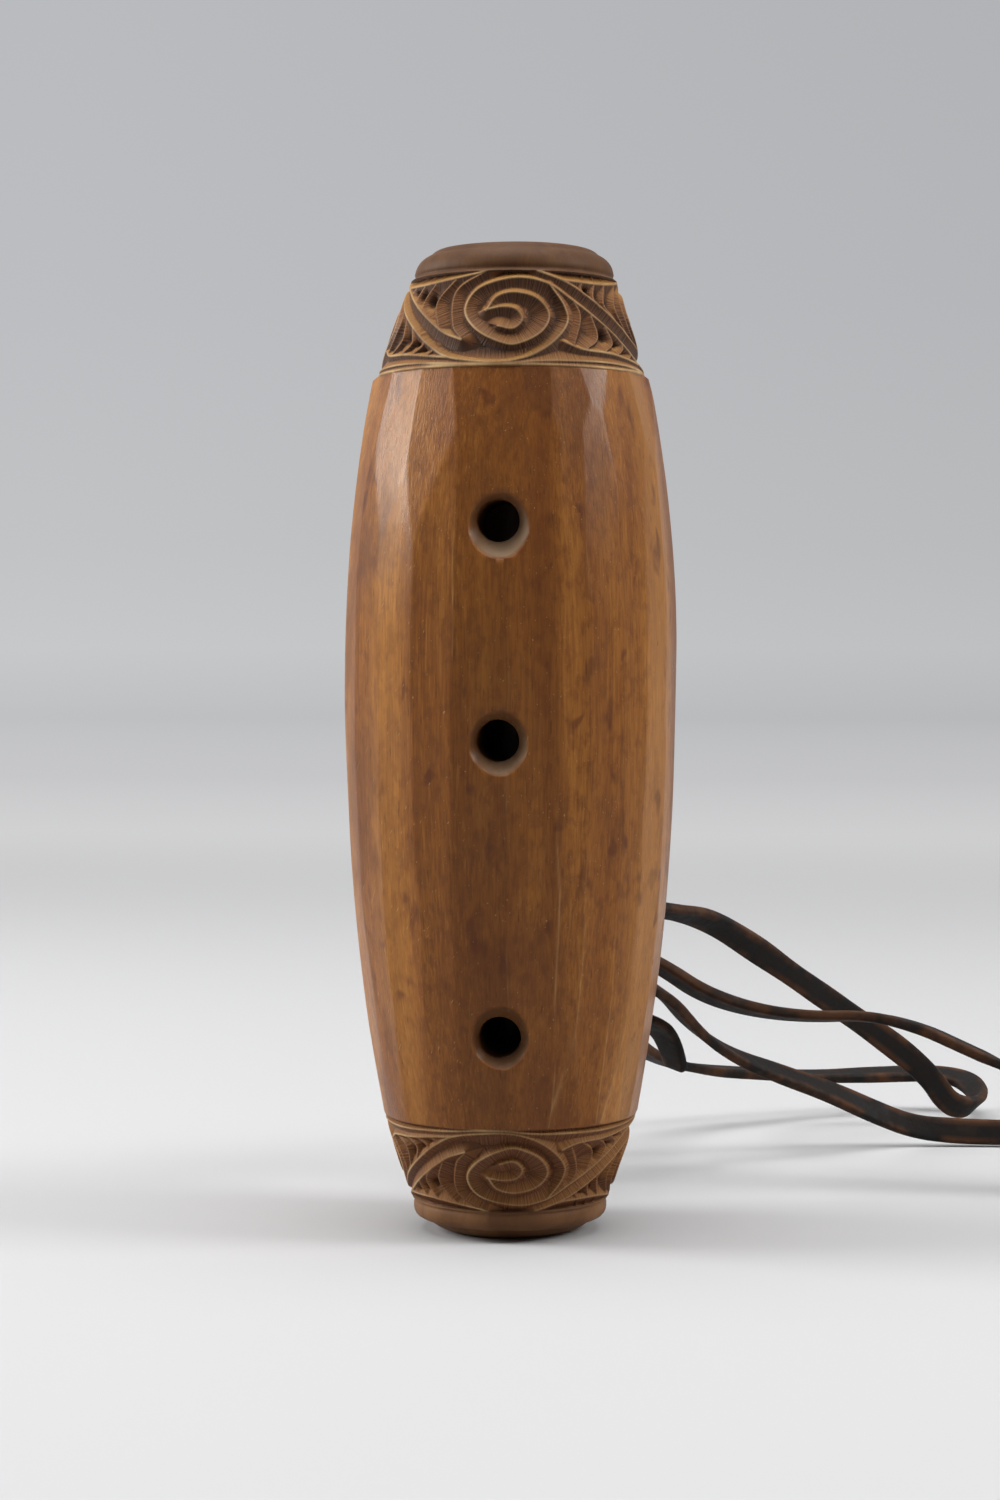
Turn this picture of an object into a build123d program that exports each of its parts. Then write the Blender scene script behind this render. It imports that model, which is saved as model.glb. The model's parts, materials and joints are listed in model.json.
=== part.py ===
from build123d import *
from math import radians, sin, tan
import os

# Carved wooden end-blown flute with three finger holes, on a knotted flat leather thong.
# Millimetres, +Z up along the bore, origin at the middle of the foot.
# The finger holes are on the -Y side, and the thong goes through a tunnel in the +Y side.

# Flute: its length, the height of its widest place, and the heights of the collars and bands at its ends
length = 140.0
belly_height = 82.0
low_collar_height = 5.0
low_band_height = 12.0
top_band_height = 14.0
top_collar_height = 4.0
low_band_low = low_collar_height
low_band_high = low_band_low + low_band_height
top_band_high = length - top_collar_height
top_band_low = top_band_high - top_band_height

# Flute: radii from the foot to the mouth
foot_radius = 9.4
low_collar_radius = 13.9
low_band_radius = 14.2
low_band_wide_radius = 17.8
heel_radius = 18.5
belly_radius = 23.9
shoulder_radius = 19.9
top_band_wide_radius = 19.1
top_band_radius = 14.7
top_collar_radius = 14.4
mouth_radius = 10.4

# Flute: the collars' rounding, and the groove between collar and band
collar_bulge = 0.4
band_bulge = 0.25
groove_depth = 0.5
groove_height = 0.5
bore_rim_rounding = 0.9
end_rim_rounding = 0.8
shoulder_chamfer = 0.5

# Flute: whittled facets
facet_count = 20
facet_sections = 8
facet_lean = 3.2
facet_lean_step = 2.4
facet_lean_height = 16.0
taper_power_up = 2.0
taper_power_down = 2.2

# Carving on the bands: a scroll that runs from spiral to spiral, cut in so that its lines stand as ridges.
# Each line is on the unrolled band: x goes round from a spiral's middle, y from the band's middle to the collar.
spiral_turns = (1.4, 103.0, 181.0, 259.5)
carving_repeat = 30.0
carving_height = 14.2
carving_depth = 0.65
carving_edge = 0.5
ridge_width = 0.3
ridge_foot_width = 1.4
ridge_drop = 0.06
ridge_root = 0.4
eye = ((-1.1, -1.3), (0.9, -1.7), (2.2, -0.3), (1.4, 1.2), (-0.6, 1.6), (-3.0, 1.2))
scroll = (
    (-2.9, 1.1), (-1.6, 3.1), (1.1, 3.8), (4.4, 2.9), (6.0, 0.6), (4.9, -1.9), (2.2, -3.7), (-0.1, -3.9),
    (-3.9, -1.8), (-6.0, 1.3), (-4.4, 4.5), (1.3, 6.0), (6.2, 5.2), (10.0, 2.8), (15.1, -0.6), (19.2, -3.6),
    (23.2, -5.8), (30.0, -6.5), (34.7, -4.7), (38.3, -1.0), (38.4, 1.8), (36.5, 4.9),
)
slope = ((4.6, 7.1), (9.6, 5.4), (13.9, 3.0), (18.9, -0.3), (21.3, -1.9), (24.1, -3.1))
collar_border = ((8.6, 5.9), (11.5, 5.7), (16.0, 5.7), (20.5, 6.1), (24.6, 6.5))
barrel_border = ((7.8, -3.4), (10.4, -4.4), (15.0, -4.7), (19.6, -5.4))
crescents = (
    ((-3.5, 7.1), (-8.0, 4.2), (-7.5, -0.8), (-5.9, -3.0)),
    ((10.0, 2.8), (10.8, 0.4), (9.2, -3.9)),
)
carving_lines = (eye, scroll, slope, collar_border, barrel_border, *crescents)

# Flute: bore and finger holes
bore_radius = 7.0
finger_hole_heights = (29.7, 70.7, 100.7)
finger_hole_radius = 3.0
finger_mouth_radius = 4.4
finger_mouth_angle = 52.0

# Tunnel for the thong: two slanted drillings that meet inside the back wall
tunnel_height = 41.0
tunnel_spacing = 12.0
tunnel_radius = 3.0
tunnel_angle = 45.0

# Thong: a flat leather strip, its bend inside the tunnel, and how far it stands out of the tunnel's mouths
thong_width = 4.2
thong_thickness = 1.9
thong_edge = 0.5
tunnel_bend_radius = 2.8
thong_lift = 3.4

# Share of the shorter run that each arc of a route takes up
arc_share = 0.45

# Knot: a ball of crossed turns, close behind the flute
knot_centre = Vector(0.0, 33.5, 41.0)
knot_core_radius = 5.6
knot_turn_radius = 6.2
knot_turn_step = 0.17
knot_clearance = 0.3
knot_entry_angle = 60.0
knot_turn_tilts = ((10.0, 5.0, 0.0), (80.0, 0.0, 40.0), (40.0, 10.0, 95.0))

# Routes of the thong, from the knot and back to it
short_loop_points = (
    (4.8, 37.8, 42.1),
    (11.0, 43.5, 43.2),
    (21.5, 51.0, 41.5),
    (27.5, 60.5, 39.5),
    (35.0, 70.0, 34.0),
    (43.0, 79.0, 27.5),
    (51.5, 86.5, 21.0),
    (60.0, 93.0, 14.5),
    (66.0, 96.5, 9.0),
    (69.0, 98.5, 4.2),
    (72.5, 102.0, 2.6),
    (75.0, 107.5, 2.9),
    (75.5, 113.5, 4.4),
    (72.7, 117.5, 6.0),
    (67.0, 117.2, 6.8),
    (57.5, 112.5, 7.0),
    (45.5, 106.0, 7.4),
    (34.5, 98.0, 9.0),
    (25.5, 90.0, 10.6),
    (17.5, 78.5, 14.2),
    (11.5, 63.5, 22.5),
    (4.5, 50.0, 32.0),
    (0.5, 39.6, 38.8),
)
long_loop_points = (
    (6.8, 33.8, 39.5),
    (13.0, 34.3, 38.0),
    (21.0, 36.0, 34.0),
    (27.0, 37.5, 29.7),
    (35.0, 39.0, 27.0),
    (44.0, 39.5, 26.0),
    (53.0, 39.5, 26.4),
    (61.0, 38.0, 24.6),
    (67.0, 36.5, 22.0),
    (74.0, 35.0, 19.0),
    (85.5, 33.5, 13.5),
    (97.5, 33.5, 8.0),
    (108.5, 38.0, 4.0),
    (115.0, 46.5, 2.7),
    (116.0, 57.5, 2.5),
    (111.5, 68.0, 2.5),
    (102.0, 74.0, 2.5),
    (90.0, 77.0, 2.5),
    (78.0, 77.0, 2.4),
    (69.5, 77.2, 2.5),
    (62.0, 76.5, 3.2),
    (55.5, 74.0, 6.0),
    (48.0, 69.0, 10.0),
    (40.0, 63.5, 13.5),
    (31.5, 57.0, 17.5),
    (25.5, 51.5, 22.5),
    (20.5, 45.5, 29.5),
    (12.0, 40.0, 33.0),
    (4.3, 36.4, 36.1),
)
tail_points = (
    (1.0, 33.2, 34.4),
    (3.0, 36.5, 28.6),
    (9.5, 43.5, 25.5),
    (18.5, 50.0, 24.0),
    (21.5, 55.0, 20.5),
    (22.5, 58.0, 15.5),
)


def barrel_radius(height):
    """Half-width of the barrel at a height: widest at the belly, with a quicker taper upwards."""
    if height >= belly_height:
        share = (height - belly_height) / (top_band_low - belly_height)
        return belly_radius - (belly_radius - shoulder_radius) * share**taper_power_up
    share = (belly_height - height) / (belly_height - low_band_high)
    return belly_radius - (belly_radius - heel_radius) * share**taper_power_down


def facet_corners(height):
    """Corners of the whittled outline at a height. The edges between the facets lean from side to side."""
    corners = []
    for number in range(facet_count):
        lean = facet_lean * sin(facet_lean_step * number + height / facet_lean_height)
        turn = 360.0 * number / facet_count + lean
        corners.append(Vector(barrel_radius(height), 0, 0).rotate(Axis.Z, turn))
    return corners


def corner_radii(points):
    """The arc at each corner of a route, as large as its two runs allow."""
    radii = []
    for before, corner, after in zip(points, points[1:], points[2:]):
        run_in = Vector(corner) - Vector(before)
        run_out = Vector(after) - Vector(corner)
        half_turn = radians(run_in.get_angle(run_out)) / 2
        radii.append(arc_share * min(run_in.length, run_out.length) / tan(half_turn))
    return radii


def thong_strand(name, points, radii, wide_way):
    """A flat strip of thong along a route. wide_way is where its width points at the start."""
    with BuildPart() as strand:
        with BuildLine() as route:
            FilletPolyline(*points, radius=radii)
        path = route.wire()
        start = path % 0
        across = wide_way - start * wide_way.dot(start)
        with BuildSketch(Plane(path @ 0, x_dir=across, z_dir=start)) as section:
            RectangleRounded(thong_width, thong_thickness, thong_edge)
        sweep(path=path)
    strand.part.label = name
    share = strand.part.volume / (section.sketch.area * path.length)
    print(name, "length", round(path.length, 1), "volume over section times length", round(share, 4))
    print(name, "radii", [round(radius, 1) for radius in radii])
    return strand.part


def band_place(number, x, y, wide, narrow, depth):
    """A point of the carving of one spiral, on a band from its wide to its narrow end, at a depth."""
    step, share_round = divmod(x / carving_repeat, 1)
    count = len(spiral_turns)
    here = int(number + step) % count
    gap = (spiral_turns[(here + 1) % count] - spiral_turns[here]) % 360.0
    share = y / carving_height + 0.5
    radius = wide[0] + (narrow[0] - wide[0]) * share + 4 * band_bulge * share * (1 - share)
    height = wide[1] + (narrow[1] - wide[1]) * share
    return Vector(0, depth - radius, height).rotate(Axis.Z, spiral_turns[here] + gap * share_round)


def ridge(points, number, wide, narrow):
    """One line of the carving, as a ridge with sloping sides along a smooth curve through its points."""
    middle = Spline(*points)
    count = len(points) - 1
    corners = []
    for side, width, depth in (
        (1, ridge_width, ridge_drop),
        (-1, ridge_width, ridge_drop),
        (-1, ridge_foot_width, carving_depth + ridge_root),
        (1, ridge_foot_width, carving_depth + ridge_root),
    ):
        line = []
        for step in range(count + 1):
            ahead = middle % (step / count)
            place = middle @ (step / count) + Vector(-ahead.Y, ahead.X) * (side * width / 2)
            line.append(band_place(number, place.X, place.Y, wide, narrow, depth))
        corners.append(Spline(*line))
    sides = [Face.make_surface_from_curves(*pair) for pair in zip(corners, corners[1:] + corners[:1])]
    ends = []
    for end in (0, 1):
        outer = Line(corners[0] @ end, corners[1] @ end)
        inner = Line(corners[3] @ end, corners[2] @ end)
        ends.append(Face.make_surface_from_curves(outer, inner))
    return Solid(Shell(sides + ends))


def band_recess(start, end):
    """The layer that is cut away round a band, from one height to another of its surface."""
    middle = ((start[0] + end[0]) / 2 + band_bulge, (start[1] + end[1]) / 2)
    outer = [(radius + carving_depth, height) for radius, height in (start, middle, end)]
    inner = [(radius - carving_depth, height) for radius, height in (end, middle, start)]
    edges = (
        ThreePointArc(*outer),
        Line(outer[-1], inner[0]),
        ThreePointArc(*inner),
        Line(inner[-1], outer[0]),
    )
    return revolve(Plane.XZ * make_face(edges), axis=Axis.Z)


os.makedirs("parts", exist_ok=True)

# Carving: for each band the layer that is cut away, from its edge at the barrel to the groove, and the ridges
top_wide = (top_band_wide_radius, top_band_low)
top_narrow = (top_band_radius, top_band_high - groove_height)
top_cut_start = (top_band_wide_radius, top_band_low + carving_edge)
top_cut_end = (top_collar_radius - groove_depth + carving_depth, top_band_high)
low_wide = (low_band_wide_radius, low_band_high)
low_narrow = (low_band_radius, low_band_low + groove_height)
low_cut_start = (low_band_wide_radius, low_band_high - carving_edge)
low_cut_end = (low_collar_radius - groove_depth + carving_depth, low_band_low)
recesses = (band_recess(top_cut_start, top_cut_end), band_recess(low_cut_start, low_cut_end))
ridges = []
for wide, narrow in ((top_wide, top_narrow), (low_wide, low_narrow)):
    for number in range(len(spiral_turns)):
        ridges += [ridge(points, number, wide, narrow) for points in carving_lines]

# Flute: one piece of wood, faceted between two carved bands that are set in
with BuildPart() as flute_body:
    step = (top_band_low - low_band_high) / (facet_sections - 1)
    for number in range(facet_sections):
        height = low_band_high + step * number
        with BuildSketch(Plane.XY.offset(height)):
            with BuildLine():
                Polyline(*facet_corners(height), close=True)
            make_face()
    loft()
    barrel_ends = flute_body.faces().filter_by(Axis.Z)
    chamfer(barrel_ends.edges(), shoulder_chamfer)

    # The foot, its collar and the lower band
    with BuildSketch(Plane.XZ):
        with BuildLine():
            collar_low = (low_collar_radius, low_band_low - groove_height)
            collar_middle = (
                (foot_radius + low_collar_radius) / 2 + collar_bulge,
                (low_band_low - groove_height) / 2 - collar_bulge,
            )
            groove = (low_collar_radius - groove_depth, low_band_low)
            band_start = (low_band_radius, low_band_low + groove_height)
            band_end = (low_band_wide_radius, low_band_high)
            band_middle = (
                (low_band_radius + low_band_wide_radius) / 2 + band_bulge,
                (low_band_low + groove_height + low_band_high) / 2,
            )
            Line((0, 0), (foot_radius, 0))
            ThreePointArc((foot_radius, 0), collar_middle, collar_low)
            Polyline(collar_low, groove, band_start)
            ThreePointArc(band_start, band_middle, band_end)
            Polyline(band_end, (0, low_band_high), (0, 0))
        make_face()
    revolve(axis=Axis.Z)

    # The upper band, its collar and the mouth
    with BuildSketch(Plane.XZ):
        with BuildLine():
            band_start = (top_band_wide_radius, top_band_low)
            band_end = (top_band_radius, top_band_high - groove_height)
            band_middle = (
                (top_band_wide_radius + top_band_radius) / 2 + band_bulge,
                (top_band_low + top_band_high - groove_height) / 2,
            )
            groove = (top_collar_radius - groove_depth, top_band_high)
            collar_low = (top_collar_radius, top_band_high + groove_height)
            collar_middle = (
                (mouth_radius + top_collar_radius) / 2 + collar_bulge,
                (top_band_high + groove_height + length) / 2 + collar_bulge,
            )
            Polyline((0, length), (0, top_band_low), band_start)
            ThreePointArc(band_start, band_middle, band_end)
            Polyline(band_end, groove, collar_low)
            ThreePointArc(collar_low, collar_middle, (mouth_radius, length))
            Line((mouth_radius, length), (0, length))
        make_face()
    revolve(axis=Axis.Z)

    # The bore, with its rims rounded
    with Locations((0, 0, length)):
        Hole(bore_radius, depth=length)
    bore_rims = flute_body.edges().filter_by(GeomType.CIRCLE).filter_by(lambda e: e.radius == bore_radius)
    fillet(bore_rims, bore_rim_rounding)

    foot_rim = flute_body.edges().filter_by(GeomType.CIRCLE).filter_by(lambda e: e.radius == foot_radius)
    mouth_rim = flute_body.edges().filter_by(GeomType.CIRCLE).filter_by(lambda e: e.radius == mouth_radius)
    fillet(foot_rim + mouth_rim, end_rim_rounding)

    # Finger holes through the front wall, each opened out at its mouth
    for height in finger_hole_heights:
        with Locations(Plane((0, -barrel_radius(height), height), x_dir=(1, 0, 0), z_dir=(0, -1, 0))):
            CounterSinkHole(
                finger_hole_radius,
                finger_mouth_radius,
                depth=barrel_radius(height),
                counter_sink_angle=finger_mouth_angle,
            )

    # The thong's tunnel through the back wall
    tunnel_depth = tunnel_spacing / 2 / tan(radians(tunnel_angle))
    tunnel_leg_length = tunnel_spacing / 2 / sin(radians(tunnel_angle))
    tunnel_meeting = Vector(0, barrel_radius(tunnel_height) - tunnel_depth, tunnel_height)
    for side in (-1, 1):
        leg = Vector(0, 1, 0).rotate(Axis.X, side * tunnel_angle)
        drill_length = tunnel_leg_length + 2 * tunnel_radius
        with Locations(Plane(tunnel_meeting + leg * drill_length, x_dir=(1, 0, 0), z_dir=leg)):
            Hole(tunnel_radius, depth=drill_length)

    # The carving: both bands are cut in, and the ridges are left
    add(recesses, mode=Mode.SUBTRACT)
    add(ridges)
flute_body.part.label = "flute_body"
export_step(flute_body.part, "parts/flute_body.step")

# Knot: a ball of leather with three turns of thong crossed over it
with BuildPart() as thong_knot:
    with Locations(knot_centre):
        Sphere(knot_core_radius)
    for number, tilt in enumerate(knot_turn_tilts):
        turn_plane = Plane(knot_centre).rotated(tilt)
        turn_middle = knot_turn_radius - knot_turn_step * number - thong_thickness / 2
        with BuildSketch(turn_plane):
            with Locations((turn_middle, 0)):
                RectangleRounded(thong_thickness, thong_width, thong_edge)
        revolve(axis=Axis(knot_centre, turn_plane.y_dir))
thong_knot.part.label = "thong_knot"
export_step(thong_knot.part, "parts/thong_knot.step")

# Thong: the turn through the tunnel, with both ends at the knot
upper_leg = Vector(0, 1, 0).rotate(Axis.X, tunnel_angle)
lower_leg = Vector(0, 1, 0).rotate(Axis.X, -tunnel_angle)
leg_reach = tunnel_leg_length + thong_lift
knot_reach = knot_turn_radius + knot_clearance
tunnel_turn_points = (
    knot_centre + Vector(0, -1, 0).rotate(Axis.X, -knot_entry_angle) * knot_reach,
    tunnel_meeting + upper_leg * leg_reach,
    tunnel_meeting,
    tunnel_meeting + lower_leg * leg_reach,
    knot_centre + Vector(0, -1, 0).rotate(Axis.X, knot_entry_angle) * knot_reach,
)
tunnel_turn_radii = corner_radii(tunnel_turn_points)
tunnel_turn_radii[1] = tunnel_bend_radius
thong_tunnel_turn = thong_strand("thong_tunnel_turn", tunnel_turn_points, tunnel_turn_radii, Vector(1, 0, 0))
export_step(thong_tunnel_turn, "parts/thong_tunnel_turn.step")

# Thong: the short loop that is folded back at the table
thong_short_loop = thong_strand(
    "thong_short_loop", short_loop_points, corner_radii(short_loop_points), Vector(0, 0, 1)
)
export_step(thong_short_loop, "parts/thong_short_loop.step")

# Thong: the long loop, worn round the neck
thong_long_loop = thong_strand(
    "thong_long_loop", long_loop_points, corner_radii(long_loop_points), Vector(0, 0, 1)
)
export_step(thong_long_loop, "parts/thong_long_loop.step")

# Thong: the free end below the knot
thong_tail = thong_strand("thong_tail", tail_points, corner_radii(tail_points), Vector(1, 0, 0))
export_step(thong_tail, "parts/thong_tail.step")
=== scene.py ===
import json
import math

import bpy
import numpy as np
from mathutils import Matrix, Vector


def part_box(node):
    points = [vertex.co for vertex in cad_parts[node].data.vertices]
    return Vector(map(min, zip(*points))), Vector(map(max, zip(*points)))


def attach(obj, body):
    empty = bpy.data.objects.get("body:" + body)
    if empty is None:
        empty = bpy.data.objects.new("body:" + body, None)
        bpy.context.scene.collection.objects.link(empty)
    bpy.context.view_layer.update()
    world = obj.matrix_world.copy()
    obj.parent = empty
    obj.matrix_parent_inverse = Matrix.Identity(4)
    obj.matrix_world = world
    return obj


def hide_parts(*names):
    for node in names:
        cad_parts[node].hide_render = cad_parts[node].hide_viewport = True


# Looks of a carved wooden end-blown flute on a knotted leather thong.
# The flute and its carving are worked out in millimetres, and the meshes are in metres.

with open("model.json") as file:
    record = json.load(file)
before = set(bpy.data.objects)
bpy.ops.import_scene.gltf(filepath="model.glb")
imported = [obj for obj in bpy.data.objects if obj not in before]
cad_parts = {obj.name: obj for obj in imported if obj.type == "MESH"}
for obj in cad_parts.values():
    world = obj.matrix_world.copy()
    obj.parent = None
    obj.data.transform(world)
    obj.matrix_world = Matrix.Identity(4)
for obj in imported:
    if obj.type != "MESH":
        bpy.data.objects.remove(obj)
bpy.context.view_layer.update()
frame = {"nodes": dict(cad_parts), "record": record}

MM = 0.001
FRONT = -90.0

# Sizes from the frame
flute_low, flute_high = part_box("flute_body")
length = (flute_high.z - flute_low.z) / MM
belly_radius = (flute_high.x - flute_low.x) / 2 / MM
bore = [mount for mount in frame["record"]["mounts"] if mount["name"] == "bore"][0]
bore_radius = bore["dims"]["r_mm"]
hole_boxes = [opening["box_m"] for opening in frame["record"]["physics"]["openings"]]
finger_hole_heights = [(low[2] + high[2]) / 2 / MM for low, high in hole_boxes]

# Flute: heights and radii of its parts, from the foot to the mouth
low_band_low = 4.3
low_band_high = 16.7
top_collar_height = 4.0
top_band_height = 14.0
top_band_high = length - top_collar_height
top_band_low = top_band_high - top_band_height
belly_height = 82.0
foot_radius = 10.4
low_collar_radius = 13.9
low_band_radius = 14.2
low_band_wide_radius = 18.1
heel_radius = 18.3
shoulder_radius = 19.9
top_band_wide_radius = 19.1
top_band_radius = 14.7
top_collar_radius = 14.2
mouth_radius = 11.4
groove_depth = 0.15
groove_height = 0.5
mouth_rounding = 1.1
foot_rounding = 2.4
bore_rim_rounding = 0.9
shoulder_rounding = 0.5
collar_bulge = 0.5
foot_bulge = 0.75
band_bulge = 0.25
wobble_depth = 0.04
bore_wall = 2.0

# Flute: sideways lean of the mouth end, which fades in above a height and leaves the bore as it is
top_lean = 0.7
lean_start = 100.0
lean_fade = (0.5, 3.0)

# Flute: finger holes and the thong's tunnel
finger_hole_radius = 2.9
finger_mouth_radius = 4.55
finger_mouth_depth = 2.6
flare_shift = (0.2, -0.4)
flare_root = 0.4
flare_power = 1.2
flare_rings = 10
cutter_past = 1.6
flare_lips = ((0.3, 0.35), (0.8, cutter_past))
tunnel_height = 41.0
tunnel_spacing = 12.0
tunnel_radius = 3.0

# Flute: steps of its mesh
columns = 900
band_step = 0.12
barrel_step = 0.9
plain_step = 0.4
groove_step = 0.2
bore_step = 4.0
round_steps = 6
foot_round_steps = 8

# Thong
thong_width = 4.2 * MM
thong_thickness = 1.6 * MM


def smooth_step(value, low, high):
    share = np.clip((value - low) / (high - low), 0.0, 1.0)
    return share * share * (3 - 2 * share)


def turned(angle):
    """An angle in degrees, brought into -180 to 180."""
    return (angle + 180.0) % 360.0 - 180.0


def add_object(name, data):
    thing = bpy.data.objects.new(name, data)
    bpy.context.scene.collection.objects.link(thing)
    return thing


def ring_faces(rings, sides):
    """Faces of a tube of rings, closed at both ends."""
    faces = []
    for ring in range(rings - 1):
        low, high = ring * sides, (ring + 1) * sides
        for number in range(sides):
            after = (number + 1) % sides
            faces.append((low + number, low + after, high + after, high + number))
    faces.append(tuple(reversed(range(sides))))
    faces.append(tuple(range((rings - 1) * sides, rings * sides)))
    return faces


# Carving: crests of one repeat of the running scroll, on the unrolled band.
# x runs round the flute from a spiral's middle, and y runs up the band from its middle.
repeat = 30.0
half_height = 7.07
eye = ((-1.1, -1.3), (0.9, -1.7), (2.2, -0.3), (1.4, 1.2), (-0.6, 1.6), (-3.0, 1.2))
scroll = (
    (-2.9, 1.1), (-1.6, 3.1), (1.1, 3.8), (4.4, 2.9), (6.0, 0.6), (4.9, -1.9), (2.2, -3.7),
    (-0.1, -3.9), (-3.9, -1.8), (-6.0, 1.3), (-4.4, 4.5), (1.3, 6.0), (6.2, 5.2), (10.0, 2.8),
    (15.1, -0.6), (19.2, -3.6), (23.2, -5.8), (30.0, -6.5), (34.7, -4.7), (38.3, -1.0), (38.4, 1.8),
    (36.5, 4.9),
)
slope = ((4.6, 7.1), (9.6, 5.4), (13.9, 3.0), (18.9, -0.3), (21.3, -1.9), (24.1, -3.1))
collar_border = ((4.6, 7.2), (8.6, 5.9), (11.5, 5.7), (16.0, 5.7), (20.5, 6.1), (24.6, 6.7), (26.6, 7.2))
barrel_border = ((7.8, -3.4), (10.4, -4.4), (15.0, -4.7), (19.6, -5.3), (22.4, -5.6))
edge_border = (
    (-4.0, -7.0), (0.0, -7.0), (3.3, -6.5), (8.0, -6.3), (14.5, -6.2), (21.0, -6.5), (26.0, -7.0),
)
crescents = (
    ((-3.5, 7.1), (-8.0, 4.2), (-7.5, -0.8), (-5.9, -3.0)),
    ((-8.4, 6.2), (-11.1, 2.6), (-9.6, -1.4)),
    ((-12.4, 5.8), (-14.0, 2.6), (-11.9, 0.2)),
    ((-15.0, 5.7), (-16.1, 3.6), (-15.2, 2.0)),
    ((-17.6, 5.7), (-18.3, 4.7), (-17.9, 3.7)),
    ((10.0, 2.8), (10.8, 0.4), (9.2, -3.9)),
    ((12.7, 0.9), (13.2, -2.5), (11.0, -4.4)),
    ((14.9, -0.5), (15.9, -3.1), (14.0, -4.6)),
    ((17.2, -1.9), (18.2, -3.6), (16.4, -4.9)),
    ((19.4, -3.8), (20.0, -4.6), (19.0, -5.2)),
)
slots = ((-12.6, 2.6), (-15.1, 3.7), (-17.0, 4.5), (14.6, -2.2), (17.0, -3.4), (18.9, -4.6))
carving_depth = 1.15
crescent_drop = 0.08
crest_flat = 0.06
gentle_cut = 0.62
steep_cut = 1.5
slot_depth = 0.8
slot_size = (0.55, 1.0)
slot_fade = (0.3, 0.7)
lattice_step = 0.06
lattice_margin = 0.3
crest_reach = 2.6
# Plain ledge between the top band and the barrel, from its low side to its high side
ledge_low = -6.9
ledge_high = -6.3
# Angles of the spirals' middles from the front
spiral_angles = {"top": (1.4, 103.0, 181.0, 259.5), "low": (3.0, 104.0, 182.0, 260.5)}


def smooth_line(points, count=8):
    """A curve through points, as a Catmull-Rom line with count steps between neighbours."""
    points = np.array(points, float)
    ends = np.vstack((2 * points[0] - points[1], points, 2 * points[-1] - points[-2]))
    share = np.linspace(0, 1, count, endpoint=False)[:, None]
    line = []
    for before, start, end, after in zip(ends, ends[1:], ends[2:], ends[3:]):
        bend = 2 * before - 5 * start + 4 * end - after
        swing = 3 * start - before - 3 * end + after
        line.append(0.5 * (2 * start + (end - before) * share + bend * share**2 + swing * share**3))
    line.append(points[-1:])
    return np.vstack(line)


def carve_lattice():
    """Height below the crests, and the way along the nearest crest, over one repeat of the carving."""
    xs = np.arange(0.0, repeat, lattice_step)
    ys = np.arange(-half_height - lattice_margin, half_height + lattice_margin, lattice_step)
    height = np.full((len(ys), len(xs)), -carving_depth)
    along = np.zeros_like(height)
    crests = [(line, 0.0) for line in (eye, scroll, slope, collar_border, barrel_border, edge_border)]
    crests += [(line, crescent_drop) for line in crescents]
    for points, drop in crests:
        gentle_side = 1 if points[0][0] < 0 and points is not scroll else -1
        line = smooth_line(points)
        steps = np.hypot(*np.diff(line, axis=0).T)
        ways = np.concatenate(((0.0,), np.cumsum(steps)))
        for shift in (-2 * repeat, -repeat, 0.0, repeat):
            for start, end, way, step in zip(line, line[1:], ways, steps):
                low_x, high_x = sorted((start[0] + shift, end[0] + shift))
                if high_x < -crest_reach or low_x > repeat + crest_reach:
                    continue
                columns_near = slice(*np.searchsorted(xs, (low_x - crest_reach, high_x + crest_reach)))
                low_y, high_y = sorted((start[1], end[1]))
                rows_near = slice(*np.searchsorted(ys, (low_y - crest_reach, high_y + crest_reach)))
                dx = xs[None, columns_near] - start[0] - shift
                dy = ys[rows_near, None] - start[1]
                run = end - start
                share = np.clip((dx * run[0] + dy * run[1]) / (run @ run), 0, 1)
                gap = np.hypot(dx - share * run[0], dy - share * run[1])
                side = np.sign(run[0] * dy - run[1] * dx)
                cut = np.where(side == gentle_side, gentle_cut, steep_cut)
                fall = carving_depth * np.tanh(np.maximum(gap - crest_flat, 0) * cut / carving_depth)
                nearer = -drop - fall > height[rows_near, columns_near]
                height[rows_near, columns_near][nearer] = (-drop - fall)[nearer]
                along[rows_near, columns_near][nearer] = (way + share * step)[nearer]
    for slot_x, slot_y in slots:
        dx = (xs[None, :] - slot_x + repeat / 2) % repeat - repeat / 2
        dy = ys[:, None] - slot_y
        pit = np.exp(-((dx / slot_size[0]) ** 2) - (dy / slot_size[1]) ** 2)
        height -= slot_depth * pit * smooth_step(-height, *slot_fade)
    return xs, ys, height, along


lattice = carve_lattice()


def sample_carving(angles, ups, band):
    """Carving height, and way along the crest, at angles from the front and heights up the band."""
    xs, ys, height, along = lattice
    centres = np.array(spiral_angles[band])
    stops = np.concatenate((centres, (centres[0] + 360.0,)))
    places = (angles - centres[0]) % 360.0 + centres[0]
    number = np.clip(np.searchsorted(stops, places, side="right") - 1, 0, len(centres) - 1)
    share = (places - stops[number]) / (stops[number + 1] - stops[number])
    column = share * len(xs)
    row = np.clip((ups - ys[0]) / lattice_step, 0, len(ys) - 1.001)
    left, low = np.floor(column).astype(int), np.floor(row).astype(int)
    right = (left + 1) % len(xs)
    left %= len(xs)
    across, up = column - np.floor(column), row - low
    bottom = height[low, left] * (1 - across) + height[low, right] * across
    top = height[low + 1, left] * (1 - across) + height[low + 1, right] * across
    depth = bottom * (1 - up) + top * up
    if band == "top":
        depth = depth * smooth_step(ups, ledge_low, ledge_high)
    return depth, along[low, left]


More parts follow.
